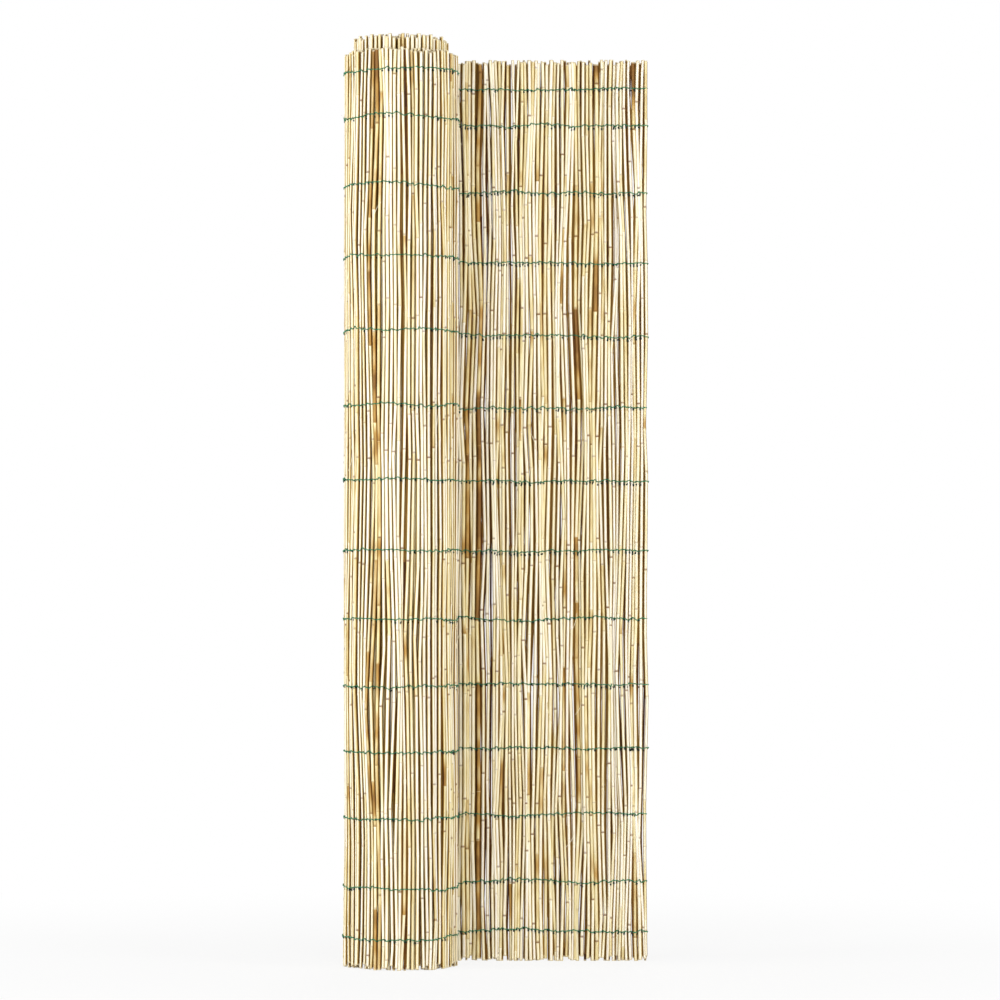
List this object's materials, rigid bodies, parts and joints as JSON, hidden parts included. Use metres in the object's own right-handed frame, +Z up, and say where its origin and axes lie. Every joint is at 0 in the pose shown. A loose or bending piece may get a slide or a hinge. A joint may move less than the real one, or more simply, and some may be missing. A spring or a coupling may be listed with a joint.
{
  "type": "peeled reed screening roll",
  "caption": "Mat of peeled reeds bound side by side with rows of green wire, half rolled up and standing on end; unrolls along a fence as a screen.",
  "frame": {"origin": "middle of the footprint, on the floor that the reeds' ends stand on", "axes": "+Z up along the reeds, +X along the open screen from the roll to its free edge, -Y is the side on which the roll lies, seen from the front"},
  "size_m": [0.503, 0.1924, 1.524],
  "materials": {
    "peeled_reed": "dry, satin, peeled stems",
    "coated_wire": "green coated steel"
  },
  "bodies": {
    "root": {"reed_screen": "peeled_reed", "reed_roll": "peeled_reed", "binding_wire_01": "coated_wire", "binding_wire_02": "coated_wire", "binding_wire_03": "coated_wire", "binding_wire_04": "coated_wire", "binding_wire_05": "coated_wire", "binding_wire_06": "coated_wire", "binding_wire_07": "coated_wire", "binding_wire_08": "coated_wire", "binding_wire_09": "coated_wire", "binding_wire_10": "coated_wire", "binding_wire_11": "coated_wire", "binding_wire_12": "coated_wire", "binding_wire_13": "coated_wire", "binding_wire_14": "coated_wire"}
  },
  "joints": []
}
